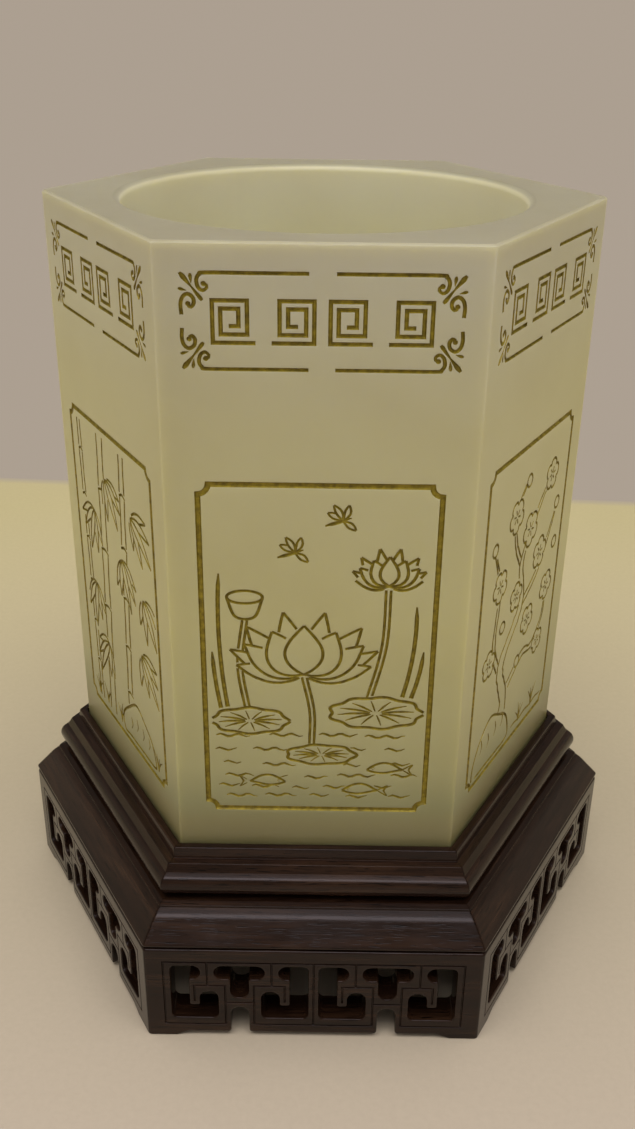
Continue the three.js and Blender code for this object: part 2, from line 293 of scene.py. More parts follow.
def make_rosewood(name, handling, carried=False):
    """Dark red-brown hardwood under satin lacquer, its grain along each piece's own length. A piece
    carried over from the frame has no grain coordinates, so its grain lies along the front."""
    material, tree, shader = new_material(name)
    if carried:
        along = object_place(tree)
    else:
        along = add_node(tree, "ShaderNodeAttribute", attribute_name="grain").outputs["Vector"]
    broad = noise(tree, scaled(tree, along, (18.0, 160.0, 160.0)), 1.0, 4.0, 0.6, 0.8)
    fine = noise(tree, scaled(tree, along, (70.0, 1500.0, 1500.0)), 1.0, 3.0, 0.6)
    pores = noise(tree, scaled(tree, along, (260.0, 4200.0, 4200.0)), 1.0, 1.0)
    pores = map_range(tree, pores, 0.60, 0.72)
    tones = ((0.32, ROSEWOOD_DARK), (0.50, ROSEWOOD_MIDDLE), (0.70, ROSEWOOD_LIGHT))
    colour = ramp(tree, mix_colour(tree, 0.45, broad, fine), tones)
    smears = smears_of(tree, handling, along, 120.0)
    feed(tree, shader, {
        "Base Color": mix_colour(tree, pores, colour, (*[0.35 * tone for tone in ROSEWOOD_DARK], 1)),
        "Roughness": map_range(tree, smears, 0.0, 1.0, 0.16, 0.22),
        "Normal": bump(tree, calculate(tree, "SUBTRACT", fine, pores), 0.07, 0.00012),
        "IOR": 1.34,
    })
    return material


# Mesh helpers

SIDE_ANGLES = np.arange(SIDES) * TURN
SIDE_NORMALS = np.stack([np.sin(SIDE_ANGLES), -np.cos(SIDE_ANGLES)])


def outward(points, faces):
    """Turns the faces round where they close a negative volume, the sum of a . (b x c) over fans."""
    fans = np.array([(f[0], f[k], f[k + 1]) for f in faces for k in range(1, len(f) - 1)])
    a, b, c = np.asarray(points)[fans].transpose(1, 0, 2)
    if np.einsum("ij,ij->", a, np.cross(b, c)) < 0:
        return [f[::-1] for f in faces]
    return faces


def finish_mesh(mesh, grain=None, sharp=35.0):
    """Smooth shading up to the sharp angle, but flat on faces that lie level or square to a side
    of the hexagon, and the grain coordinates of every vertex."""
    mesh.shade_smooth()
    mesh.set_sharp_from_angle(angle=math.radians(sharp))
    normals = np.empty(3 * len(mesh.polygons), dtype=np.float32)
    mesh.polygons.foreach_get("normal", normals)
    normals = normals.reshape(-1, 3)
    square = np.abs(normals[:, :2] @ SIDE_NORMALS).max(axis=1) > 0.99999
    level = np.abs(normals[:, 2]) > 0.99999
    mesh.polygons.foreach_set("use_smooth", ~(square | level))
    if grain is not None:
        layer = mesh.attributes.new("grain", "FLOAT_VECTOR", "POINT")
        layer.data.foreach_set("vector", np.asarray(grain, dtype=np.float32).ravel())
    mesh.update()


def new_mesh(name, points, faces, materials=(), material_index=0):
    mesh = bpy.data.meshes.new(name)
    mesh.from_pydata(np.asarray(points).tolist(), [], outward(points, faces))
    for material in materials:
        mesh.materials.append(material)
    mesh.polygons.foreach_set("material_index", np.full(len(mesh.polygons), material_index, dtype=np.int32))
    return mesh


def build(name, points, faces, materials, body, node, grain=None):
    """A piece from its points in metres and its faces, riding on its body and standing for its node."""
    mesh = new_mesh(name, points, faces, materials)
    finish_mesh(mesh, grain)
    piece = bpy.data.objects.new(name, mesh)
    bpy.context.scene.collection.objects.link(piece)
    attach(piece, body)
    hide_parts(node)
    return piece


def filleted(corners, offset=0.0, steps=6, closed=True):
    """Outline through corners (x, y, radius): each corner becomes an arc of steps + 1 points.

    The arc's centre lies on the corner's bisector, radius / sin(half angle) away, and the arc turns
    from the foot on one side to the foot on the other. The offset grows a left-turning arc and
    shrinks a right-turning one about the same centre, which moves the whole outline outwards.
    An open outline leaves out its first and last corner.
    """
    data = np.asarray(corners, dtype=float)
    corner, radius = data[:, :2], data[:, 2]
    back = np.roll(corner, 1, axis=0) - corner
    ahead = np.roll(corner, -1, axis=0) - corner
    back /= np.linalg.norm(back, axis=1)[:, None]
    ahead /= np.linalg.norm(ahead, axis=1)[:, None]
    turn = np.sign(ahead[:, 0] * back[:, 1] - ahead[:, 1] * back[:, 0])
    half = 0.5 * np.arccos(np.clip((back * ahead).sum(axis=1), -1, 1))
    bisector = back + ahead
    bisector /= np.linalg.norm(bisector, axis=1)[:, None]
    centre = corner + bisector * (radius / np.sin(half))[:, None]
    first = np.stack([back[:, 1], -back[:, 0]], axis=1) * -turn[:, None]
    last = np.stack([-ahead[:, 1], ahead[:, 0]], axis=1) * -turn[:, None]
    grown = np.maximum(radius + turn * offset, 0.01)
    share = np.linspace(0, 1, steps + 1)[None, :, None]
    sweep_angle = (np.pi - 2 * half)[:, None, None]
    arc_points = (np.sin((1 - share) * sweep_angle) * first[:, None, :]
                  + np.sin(share * sweep_angle) * last[:, None, :]) / np.sin(sweep_angle)
    arcs = centre[:, None, :] + arc_points * grown[:, None, None]
    return (arcs if closed else arcs[1:-1]).reshape(-1, 2)


HOLD = 0.05


def long_runs(outline):
    return np.linalg.norm(np.roll(outline, -1, axis=0) - outline, axis=1) > 8 * HOLD


def hold_flats(outline, long=None):
    """Adds a point just inside each end of every long straight run of a closed outline, so that the
    shading of the rounded corners does not spread over the flats."""
    long = long_runs(outline) if long is None else long
    ahead = np.roll(outline, -1, axis=0) - outline
    length = np.linalg.norm(ahead, axis=1)
    step = ahead / np.maximum(length, 1e-9)[:, None] * HOLD
    rows = np.stack([outline, outline + step, outline + ahead - step], axis=1).reshape(-1, 2)
    return rows[np.stack([np.ones_like(long), long, long], axis=1).ravel()]


def loft(rows):
    """Faces of a closed loft through rows of equal length, with an n-gon at both ends."""
    count = rows[0].shape[0]
    i = np.arange(count)
    j = (i + 1) % count
    faces = [i[::-1].tolist()]
    for level in range(len(rows) - 1):
        a = level * count
        faces += np.stack([a + i, a + j, a + count + j, a + count + i], axis=1).tolist()
    faces.append(((len(rows) - 1) * count + i).tolist())
    return np.concatenate(rows), faces


def around(points, side):
    """Turns points given in millimetres for the front side to another side, in metres."""
    angle = side * TURN
    c, s = math.cos(angle), math.sin(angle)
    return points @ np.array([[c, s, 0], [-s, c, 0], [0, 0, 1]]) * MM


def cutter(name, points, faces, collection, material_index=0, materials=()):
    """A closed solid that a boolean takes away."""
    made = bpy.data.objects.new(name, new_mesh(name, points, faces, materials, material_index))
    collection.objects.link(made)


def new_collection(name):
    made = bpy.data.collections.new(name)
    bpy.context.scene.collection.children.link(made)
    return made


def carve(piece, collection):
    """Cuts every solid of the collection out of the piece, and takes the cutters away."""
    modifier = piece.modifiers.new("carving", "BOOLEAN")
    modifier.operation = "DIFFERENCE"
    modifier.solver = "MANIFOLD"
    modifier.operand_type = "COLLECTION"
    modifier.collection = collection
    graph = bpy.context.evaluated_depsgraph_get()
    carved = bpy.data.meshes.new_from_object(piece.evaluated_get(graph))
    piece.modifiers.clear()
    piece.data = carved
    for made in list(collection.objects):
        mesh = made.data
        bpy.data.objects.remove(made)
        bpy.data.meshes.remove(mesh)
    bpy.data.collections.remove(collection)
    return carved


# Stand: mitred bars

MITRE_GAP = 0.07
# A bar's points count as outer ones up to this far in from its face
OUTER_BAND = 8.0


def mitred_bar(profile, corner_radius):
    """One side of a hexagonal frame: each profile point (distance from the axis, height) runs
    sideways to the mitre plane, which keeps half the mitre gap from the corner's diagonal. Towards
    each end the outer points turn inwards on an arc of the corner's radius, 30 degrees of it."""
    outer = profile[:, 0] > profile[:, 0].max() - OUTER_BAND
    inner_short = np.where(outer, 0.0, corner_radius * TAN30 * (1 - COS30))
    rows = []
    for angle in np.linspace(0, TURN / 2, 4):
        distance = profile[:, 0] - np.where(outer, corner_radius * (1 - math.cos(angle)), 0)
        short = corner_radius * (TAN30 - math.sin(angle)) - inner_short
        reach = profile[:, 0] * TAN30 - MITRE_GAP / 2 / COS30 - short
        rows.append(np.stack([reach, -distance, profile[:, 1]], axis=1))
    mirrored = [row * np.array([-1, 1, 1]) for row in rows]
    return loft(mirrored[::-1] + rows)


def place_ring(prefix, points, faces, material, seed):
    """Six copies of a bar, one a side, each with its own stretch of grain."""
    draw = np.random.default_rng(seed)
    for side, word in enumerate(SIDE_NAMES):
        start = draw.uniform(-1, 1, 3)
        name = f"{prefix}_{word}"
        build(name + "_carved", around(points, side), faces, [material], "stand", name,
              grain=points * MM + start)


def top_rail_profile():
    """Half-round bead (an arc about its centre), splay, step, leaning fascia and flat lip, then
    the rebate over the seat board."""
    rebate = LIP_INNER + 1.7
    fascia = LIP_INNER + 1.85
    step = fascia + 1.4
    bead_radius = 2.7
    bead = np.array([BEAD_SIDE - bead_radius, LOWER_TOP + 0.5 + bead_radius])
    end = math.acos((step + 0.85 - bead[0]) / bead_radius)
    angles = np.linspace(-0.5 * np.pi, end, 30)
    half_round = bead + bead_radius * np.stack([np.cos(angles), np.sin(angles)], axis=1)
    rest = filleted([
        (*half_round[-2], 0.0), (*half_round[-1], 0.08),
        (step, LIP_TOP - 2.4, 0.15), (fascia, LIP_TOP - 2.2, 0.08),
        (LIP_INNER + 1.5, LIP_TOP, 0.3), (LIP_INNER, LIP_TOP, 0.25),
        (LIP_INNER, SEAT_TOP, 0.02), (rebate, SEAT_TOP, 0.02), (rebate, LOWER_TOP, 0.02),
        (bead[0] - 0.3, LOWER_TOP, 0.02), (bead[0] - 0.3, bead[1] - bead_radius, 0.02), (*half_round[0], 0.0),
    ], steps=4, closed=False)
    return hold_flats(np.concatenate([half_round[:-1], rest]))


def lower_moulding_profile():
    """Groove over the apron, fillet, slope, round-over (a quadratic curve), small step and strip."""
    groove, groove_top = APRON_OUTER - 0.9, APRON_TOP + 0.6
    strip_inner = BEAD_SIDE - 0.35
    strip_outer = strip_inner + 1.05
    strip_foot = LOWER_TOP - 0.45
    share = np.linspace(0, 1, 9)[:, None]
    head = np.array([strip_outer, strip_foot - 0.45])
    foot, elbow = head + (1.65, -1.4), head + (0.99, -0.56)
    rounded = (1 - share) ** 2 * foot + 2 * share * (1 - share) * elbow + share ** 2 * head
    low = filleted([
        (LOWER_INNER, APRON_TOP + 1.0, 0.0), (LOWER_INNER, APRON_TOP, 0.1), (groove, APRON_TOP, 0.02),
        (groove, groove_top, 0.02), (APRON_OUTER, groove_top, 0.15), (APRON_OUTER, groove_top + 0.45, 0.2),
        (*foot, 0.0),
    ], steps=4, closed=False)
    high = filleted([
        (*rounded[-2], 0.0), (*head, 0.05), (strip_outer, strip_foot, 0.12), (strip_inner, LOWER_TOP, 0.12),
        (LOWER_INNER, LOWER_TOP, 0.1), (LOWER_INNER, APRON_TOP, 0.0),
    ], steps=4, closed=False)
    return hold_flats(np.concatenate([low, rounded[:-1], high]))


# Aprons: pierced fretwork with eased rims and incised lines between the openings

FRET_TOP = APRON_TOP - 4.1
FRET_BOTTOM = 4.9
FRET_SLOT = 3.6
FRET_BAR = 3.4
FRET_TONGUE = 2.0
FRET_HOOK_REACH = 5.8
ARM_TOP = FRET_BOTTOM + FRET_BAR
HOOK_FOOT = FRET_TOP - FRET_BAR
LOBE_TOP = HOOK_FOOT - 3.2
TEE_HALF = 4.9
TEE_FOOT = 10.3
ARCH_TOP = 7.8
FOOT_WIDTH = 5.5
FOOT_HEIGHT = 1.1
FOOT_SWEEP = 2.6
APRON_HALF = APRON_OUTER * TAN30
FRET_POST = 2.0
FRET_HALF = (APRON_HALF - 4.8 - FRET_POST / 2) / 2
FRET_CENTRE = FRET_POST / 2 + FRET_HALF
RIM_EASE = 0.26


def hook_opening(centre, flip):
    """A channel that turns twice round a tongue, with a half-round head at each end."""
    left = -FRET_HALF
    slot_right = left + FRET_SLOT
    lobe_left = slot_right + FRET_TONGUE
    lobe_right = lobe_left + FRET_SLOT
    hook_end = left + FRET_HOOK_REACH
    round_head, hook_head = 0.49 * FRET_SLOT, 0.49 * FRET_BAR
    corners = [
        (left, FRET_BOTTOM, 1.2), (lobe_right, FRET_BOTTOM, 1.2),
        (lobe_right, LOBE_TOP, round_head), (lobe_left, LOBE_TOP, round_head),
        (lobe_left, ARM_TOP, 0.45), (slot_right, ARM_TOP, 0.45),
        (slot_right, HOOK_FOOT, 0.28), (hook_end, HOOK_FOOT, hook_head),
        (hook_end, FRET_TOP, hook_head), (left, FRET_TOP, 1.2),
    ]
    if flip:
        corners = [(-x, z, r) for x, z, r in reversed(corners)]
    return [(x + centre, z, r) for x, z, r in corners]


def tee_opening(centre):
    """A T with round ends to its head and a round foot to its stem."""
    stem = FRET_SLOT / 2
    right = [
        (stem, TEE_FOOT, 0.49 * FRET_SLOT), (stem, HOOK_FOOT, 0.45),
        (TEE_HALF, HOOK_FOOT, 0.49 * FRET_BAR), (TEE_HALF, FRET_TOP, 0.49 * FRET_BAR)]
    left = [(-x, z, r) for x, z, r in reversed(right)]
    return [(x + centre, z, r) for x, z, r in right + left]


def underside_opening():
    """The space below the apron's lower edge: between the feet, with an arch under each repeat."""
    foot = APRON_HALF - FOOT_WIDTH
    arch = FRET_SLOT / 2
    right = [(foot, -3.0, 0.1), (foot, 0.0, 0.3), (foot - FOOT_SWEEP, FOOT_HEIGHT, 2.5)]
    for centre in (FRET_CENTRE, -FRET_CENTRE):
        right += [
            (centre + arch, FOOT_HEIGHT, 0.6), (centre + arch, ARCH_TOP, 0.49 * FRET_SLOT),
            (centre - arch, ARCH_TOP, 0.49 * FRET_SLOT), (centre - arch, FOOT_HEIGHT, 0.6)]
    return right + [(FOOT_SWEEP - foot, FOOT_HEIGHT, 2.5), (-foot, 0.0, 0.3), (-foot, -3.0, 0.1)]


def through_cutter(corners):
    """An opening cut right through the apron: its rim opens out towards the front in a quarter
    round, so the front edge of the wood is eased."""
    turn = np.linspace(0, 0.5 * np.pi, 4)
    depth = np.concatenate([[-0.3], RIM_EASE * (1 - np.cos(turn)), [APRON_OUTER - APRON_INNER + 1.0]])
    spread = np.concatenate([[RIM_EASE + 0.3], RIM_EASE * (1 - np.sin(turn)), [0.0]])
    long = long_runs(filleted(corners, spread[0]))
    rows = []
    for d, grow in zip(depth, spread):
        outline = hold_flats(filleted(corners, grow), long)
        rows.append(np.stack([outline[:, 0], np.full(len(outline), d - APRON_OUTER), outline[:, 1]], axis=1))
    return loft(rows)


def sweep(path, half_width, half_floor, depth, surface, closed=False, lift=0.15):
    """A groove cutter: a four-sided section carried along a path (x, z) on the front face.

    At each point the section lies across the path, along the mitre of the two directions that
    meet there. It is open above the surface, half_width wide at the surface on both sides, and
    half_floor wide at the depth.
    """
    along = np.diff(path, axis=0, append=path[:1]) if closed else np.diff(path, axis=0)
    along /= np.maximum(np.linalg.norm(along, axis=1), 1e-9)[:, None]
    before = np.roll(along, 1, axis=0) if closed else np.vstack([along[:1], along])
    after = along if closed else np.vstack([along, along[-1:]])
    across = np.stack([-(before + after)[:, 1], (before + after)[:, 0]], axis=1)
    across *= (2 / np.maximum((across ** 2).sum(axis=1), 0.8))[:, None]
    slope = (half_width - half_floor) / depth
    mouth = half_width + slope * lift
    offsets = np.stack([-mouth, mouth, half_floor, -half_floor], axis=1)
    place = path[:, None, :] + across[:, None, :] * offsets[:, :, None]
    high = np.full(len(path), surface - lift)
    y = np.stack([high, high, surface + depth, surface + depth], axis=1)
    points = np.stack([place[..., 0], y, place[..., 1]], axis=-1).reshape(-1, 3)
    count = len(path)
    i = np.arange(count if closed else count - 1)[:, None]
    k = np.arange(4)[None, :]
    next_k, next_i = (k + 1) % 4, (i + 1) % count
    faces = np.stack([4 * i + k, 4 * i + next_k, 4 * next_i + next_k, 4 * next_i + k], axis=-1)
    faces = faces.reshape(-1, 4).tolist()
    if not closed:
        last = 4 * (count - 1)
        faces += [[3, 2, 1, 0], [last, last + 1, last + 2, last + 3]]
    return points, faces


def incised_lines():
    """Lines that run midway between the openings, and the border of the carved field."""
    outer = FRET_CENTRE + FRET_HALF + 1.3
    top, bottom = FRET_TOP + 0.95, FRET_BOTTOM - 1.7
    middle = 0.5 * (LOBE_TOP + HOOK_FOOT)
    stem = FRET_SLOT / 2 + 1.0
    web = 0.5 * (FRET_HALF - FRET_HOOK_REACH + TEE_HALF)
    tongue = FRET_HALF - FRET_SLOT - FRET_TONGUE / 2
    bridge = 0.5 * (TEE_FOOT + ARCH_TOP)
    lines = [
        [(-FRET_CENTRE - stem, bottom), (-outer, bottom), (-outer, top), (outer, top), (outer, bottom),
         (FRET_CENTRE + stem, bottom)],
        [(0, bottom), (0, top)],
        [(stem - FRET_CENTRE, bottom), (FRET_CENTRE - stem, bottom)],
    ]
    for centre in (-FRET_CENTRE, FRET_CENTRE):
        lines.append([(centre - stem, bridge), (centre + stem, bridge)])
        for hand in (-1, 1):
            lines.append([(centre + hand * web, top), (centre + hand * web, middle),
                          (centre + hand * stem, middle), (centre + hand * stem, bottom)])
            lines.append([(centre + hand * web, middle), (centre + hand * tongue, middle),
                          (centre + hand * tongue, ARM_TOP + 1.0)])
    return [np.array(line, dtype=float) for line in lines]


def make_apron():
    """The apron of the front side in millimetres: a mitred board, pierced and incised."""
    profile = hold_flats(filleted([
        (APRON_INNER, 0.0, 0.15), (APRON_OUTER, 0.0, 0.25),
        (APRON_OUTER, APRON_TOP, 0.5), (APRON_INNER, APRON_TOP, 0.15),
    ], steps=4))
    board = bpy.data.objects.new("apron_board", new_mesh("apron_board", *mitred_bar(profile, 0.75)))
    bpy.context.scene.collection.objects.link(board)
    cutters = new_collection("apron_cutters")
    openings = [underside_opening()]
    for centre in (-FRET_CENTRE, FRET_CENTRE):
        openings += [hook_opening(centre, False), hook_opening(centre, True), tee_opening(centre)]
    for k, corners in enumerate(openings):
        cutter(f"opening_{k}", *through_cutter(corners), cutters)
    for k, path in enumerate(incised_lines()):
        half = np.full(len(path), 0.2)
        cutter(f"line_{k}", *sweep(path, half, half * 0.3, half * 1.4, -APRON_OUTER), cutters)
    carved = carve(board, cutters)
    points = np.array([v.co for v in carved.vertices])
    faces = [list(p.vertices) for p in carved.polygons]
    bpy.data.objects.remove(board)
    return points, faces


# Jade pot

BORE_FLOOR = POT_BOTTOM + 11.0
BORE_FILLET = 5.0
BORE_MOUTH = 1.4
ARRIS_RADIUS = 0.45
RIM_EDGE = 0.35
GILT_INDEX = 1


def pot_outline(apothem, per_face=23, per_arris=5):
    """Hexagon with rounded vertical arrises: at each corner an arc about a centre set back along
    the diagonal, and between them points spaced by equal angles along the flat face."""
    corner = np.arange(SIDES)[:, None] * TURN
    turn = np.linspace(-TURN / 2, TURN / 2, per_arris)[None, :]
    set_back = (apothem - ARRIS_RADIUS) / COS30
    arcs = np.stack([
        set_back * np.cos(corner) + ARRIS_RADIUS * np.cos(corner + turn),
        set_back * np.sin(corner) + ARRIS_RADIUS * np.sin(corner + turn)], axis=-1)
    spread = np.linspace(-1, 1, per_face + 2)[1:-1][None, :] * (TURN / 2 - math.radians(1.2))
    middle = corner + TURN / 2
    radius = apothem / np.cos(spread)
    flats = np.stack([radius * np.cos(middle + spread), radius * np.sin(middle + spread)], axis=-1)
    return np.concatenate([arcs, flats], axis=1).reshape(-1, 2)


def pot_surface():
    """The pot as one skin: rows run from the middle of its foot, out under the block, up the flat
    faces, over the rim, down the round bore and in across its filleted floor."""
    edge = pot_outline(POT_APOTHEM)
    angles = np.arctan2(edge[:, 1], edge[:, 0])

    def flat_row(apothem, z):
        return np.column_stack([pot_outline(apothem), np.full(len(angles), z)])

    def round_row(radius, z):
        return np.column_stack([radius * np.cos(angles), radius * np.sin(angles), np.full(len(angles), z)])

    rows = [flat_row(POT_APOTHEM - RIM_EDGE, POT_BOTTOM), flat_row(POT_APOTHEM, POT_BOTTOM + RIM_EDGE),
            flat_row(POT_APOTHEM, POT_TOP - RIM_EDGE), flat_row(POT_APOTHEM - RIM_EDGE, POT_TOP)]
    for turn in np.linspace(0, 0.5 * np.pi, 7):
        rows.append(round_row(BORE_RADIUS + BORE_MOUTH * (1 - math.sin(turn)),
                              POT_TOP - BORE_MOUTH * (1 - math.cos(turn))))
    for turn in np.linspace(0, 0.5 * np.pi, 9):
        rows.append(round_row(BORE_RADIUS - BORE_FILLET * (1 - math.cos(turn)),
                              BORE_FLOOR + BORE_FILLET * (1 - math.sin(turn))))
    return loft(rows)


def spline(points, step=0.6, closed=False):
    """A smooth line through the points: cubic pieces whose slope at each point follows its two
    neighbours, sampled about every step along it."""
    p = np.asarray(points, dtype=float)
    if closed:
        slopes = (np.roll(p, -1, axis=0) - np.roll(p, 1, axis=0)) / 2
        start, end, s0, s1 = p, np.roll(p, -1, axis=0), slopes, np.roll(slopes, -1, axis=0)
    else:
        slopes = np.gradient(p, axis=0)
        start, end, s0, s1 = p[:-1], p[1:], slopes[:-1], slopes[1:]
    pieces = []
    for a, b, u, v in zip(start, end, s0, s1):
        count = max(2, int(np.ceil(np.linalg.norm(b - a) / step)) + 1)
        t = np.linspace(0, 1, count)[:-1, None]
        pieces.append((2 * t ** 3 - 3 * t ** 2 + 1) * a + (t ** 3 - 2 * t ** 2 + t) * u
                      + (3 * t ** 2 - 2 * t ** 3) * b + (t ** 3 - t ** 2) * v)
    line = np.concatenate(pieces)
    return line if closed else np.vstack([line, p[-1:]])


# A pen width, and how much heavier than its width each line of the pictures is cut
PEN = 0.44
WEIGHT = 1.25
SHARP_TURN = 0.2
SHORTEST = 0.7
EVEN = (0.9, 0.9)


class Drawing:
    """Line work on one face, in millimetres across and up from the middle of the pot's foot.

    What is drawn first lies in front: a shape hides what is drawn after it. A stroke is its points,
    half its width at each, and whether it closes.
    """

    def __init__(self, low, high):
        self.low, self.high = np.array(low), np.array(high)
        self.strokes = []
        self.shapes = []

    def hidden(self, points):
        """True for each point outside the picture or inside a shape already drawn (by counting
        the edges of the shape that a level ray from the point crosses)."""
        out = ((points < self.low) | (points > self.high)).any(axis=1)
        x, y = points[:, 0:1], points[:, 1:2]
        for shape in self.shapes:
            ax, ay = shape[:, 0][None], shape[:, 1][None]
            bx, by = np.roll(ax, -1, axis=1), np.roll(ay, -1, axis=1)
            rise = np.where(by == ay, 1e-9, by - ay)
            crossing = ((ay > y) != (by > y)) & (x < (bx - ax) * (y - ay) / rise + ax)
            out |= crossing.sum(axis=1) % 2 == 1
        return out

    def line(self, points, width=PEN, thin=(0.5, 0.35), closed=False):
        """One stroke, in separate runs where it is hidden or turns sharply. thin gives the width at
        the start and the end of each run as shares of its width."""
        half = 0.5 * WEIGHT * width
        points = np.asarray(points, dtype=float)
        ring = np.vstack([points, points[:1]]) if closed else points
        shown = ~self.hidden(ring)
        along = np.diff(ring, axis=0)
        along /= np.maximum(np.linalg.norm(along, axis=1), 1e-9)[:, None]
        straight = (along * np.roll(along, 1, axis=0)).sum(axis=1) > SHARP_TURN
        if closed and shown.all() and straight.all():
            self.strokes.append((points, np.full(len(points), half), True))
            return
        ends = np.flatnonzero(np.diff(np.concatenate([[0], shown.astype(int), [0]])))
        for start, end in ends.reshape(-1, 2):
            corners = [k for k in range(start + 1, end - 1) if not straight[k]]
            for first, last in zip([start] + corners, corners + [end - 1]):
                run = ring[first:last + 1]
                length = np.concatenate([[0], np.cumsum(np.linalg.norm(np.diff(run, axis=0), axis=1))])
                if len(run) < 3 or length[-1] < SHORTEST:
                    continue
                near = np.minimum(length / 1.2, 1)
                far = np.minimum((length[-1] - length) / 2.2, 1)
                share = (thin[0] + (1 - thin[0]) * near) * (thin[1] + (1 - thin[1]) * far)
                self.strokes.append((run, half * share, False))

    def curve(self, points, width=PEN, thin=(0.5, 0.35), step=0.6):
        self.line(spline(points, step), width, thin)

    def shape(self, outline, width=PEN):
        """A closed outline that hides what is drawn after it."""
        self.line(outline, width, EVEN, closed=True)
        self.shapes.append(np.asarray(outline))

    def leaf(self, spine, width, fullest=0.8, step=0.8, pen=PEN):
        """A leaf, petal or wing about its spine."""
        self.shape(blade(spine, width, fullest, step), pen)


def across_of(line):
    """The direction across a line, of length 1, at each of its points."""
    along = np.gradient(line, axis=0)
    return np.stack([-along[:, 1], along[:, 0]], axis=1) / np.linalg.norm(along, axis=1)[:, None]


def blade(spine, width, fullest, step):
    """A leaf outline: half its width grows and falls along its spine as the sine of pi times the
    way along raised to a power, which sets where it is fullest."""
    line = spline(spine, step)
    share = np.linspace(0, 1, len(line))
    reach = across_of(line) * (0.5 * width * np.sin(np.pi * share ** fullest))[:, None]
    return np.vstack([(line + reach)[:-1], (line - reach)[:0:-1]])


def branch(spine, thick, thin, knobs, draw):
    """A branch's line, the way to its edge at each point, and its outline. It thins evenly from
    thick to thin, and knobs is the share by which its width wanders."""
    line = spline(spine, 1.2)
    half = 0.5 * np.linspace(thick, thin, len(line)) * (1 + knobs * draw.uniform(-1, 1, len(line)))
    reach = across_of(line) * half[:, None]
    return line, reach, np.vstack([line + reach, (line - reach)[::-1]])


def ring(centre, radius, squash=1.0, waves=0, depth=0.0, start=0.0, end=360.0, step=0.6):
    """An ellipse or part of one: its height is squashed, and its radius swells and shrinks by a
    sine of so many waves. A whole turn leaves out its last point."""
    reach = math.radians(end - start)
    count = max(6, int(abs(radius * reach) / step) + 2)
    angle = np.linspace(math.radians(start), math.radians(end), count + 1)
    if abs(end - start) >= 360:
        angle = angle[:-1]
    r = radius * (1 + depth * np.cos(waves * angle))
    return np.array(centre) + np.stack([r * np.cos(angle), squash * r * np.sin(angle)], axis=1)


def wavy(x0, x1, z, rise=0.3, length=3.2):
    x = np.linspace(x0, x1, max(5, int(abs(x1 - x0) / 0.6)))
    return np.stack([x, z + rise * np.sin((x - x0) * 2 * np.pi / length)], axis=1)


def towards(degrees, length=1.0, squash=1.0):
    """A step of a length in a direction counted from the right, its height squashed."""
    angle = math.radians(degrees)
    return length * np.array([math.cos(angle), squash * math.sin(angle)])


# Pictures: common plants of the season, one a face. What is nearest comes first.

PICTURE_LOW, PICTURE_HIGH = (-19.3, 48.9), (19.3, 112.8)


def draw_water(d, levels, draw):
    """Short ripples, thicker in their middle, scattered along each level."""
    for z in levels:
        x = -18.8 + draw.uniform(0, 2.5)
        while x < 15:
            length = draw.uniform(3.2, 7.5)
            d.line(wavy(x, min(x + length, 18.9), z + draw.uniform(-0.35, 0.35)), 0.42, (0.4, 0.3))
            x += length + draw.uniform(1.2, 4.0)


def draw_rock(d, centre, width, height, draw):
    """A weathered stone: an uneven closed curve, flat below, with a few creases down its face."""
    angle = np.radians(np.linspace(0, 360, 12)[:-1])
    r = draw.uniform(0.82, 1.12, len(angle))
    rim = np.stack([0.5 * width * r * np.cos(angle), height * np.maximum(r * np.sin(angle), -0.12)], axis=1)
    d.line(spline(np.array(centre) + rim, 0.7, closed=True), 0.5, EVEN, closed=True)
    for k in range(4):
        top = np.array(centre) + (width * (-0.28 + 0.18 * k), height * draw.uniform(0.45, 0.75))
        d.curve([top, top + (0.5, -0.18 * height), top + (-0.2, -0.34 * height)], 0.4)
    d.shapes.append(np.array(centre) + rim)


def draw_grass(d, places, z, draw, tall=4.5):
    """A tuft of four blades at each place along the ground."""
    for x in places:
        for lean in (-2.0, -0.6, 0.7, 2.2):
            h = tall * draw.uniform(0.7, 1.1)
            d.curve([(x, z), (x + 0.3 * lean, z + 0.55 * h), (x + lean, z + h)], 0.42)


# Directions of a row of petals, their length and their width as shares of the flower
LOTUS_PETALS = (
    ((0, -29, 29), 0.86, 0.50), ((-56, 56), 0.94, 0.40), ((-80, 80), 0.90, 0.32),
    ((-14, 14, -42, 42), 1.12, 0.36), ((-66, 66), 1.06, 0.28))


def draw_lotus_flower(d, centre, size, squash):
    """Petals fan out from the heart: five in front, then those between and behind them."""
    centre = np.array(centre)
    for spreads, length, width in LOTUS_PETALS:
        for spread in spreads:
            tip = centre + towards(90 - spread, size * length, squash)
            middle = (centre + tip) / 2 + size * np.array([0.10 * math.sin(math.radians(spread)), -0.02])
            d.leaf([centre, middle, tip], size * width, pen=0.46)


def draw_fish(d, place, face):
    """A small fish that looks to the right or, mirrored, to the left: eye, body and forked tail."""
    def at(*points):
        return np.array(place) + np.array(points) * (face, 1)

    d.line(ring(at((2.0, 0.25))[0], 0.24, end=300, step=0.2), 0.28)
    d.leaf(at((-3.4, 0.0), (-0.5, 0.4), (3.2, -0.1)), 2.3, 1.15, 0.7, 0.42)
    d.curve(at((-3.4, 0.0), (-5.3, 1.2), (-4.6, 0.0), (-5.3, -1.2), (-3.4, 0.0)), 0.4)


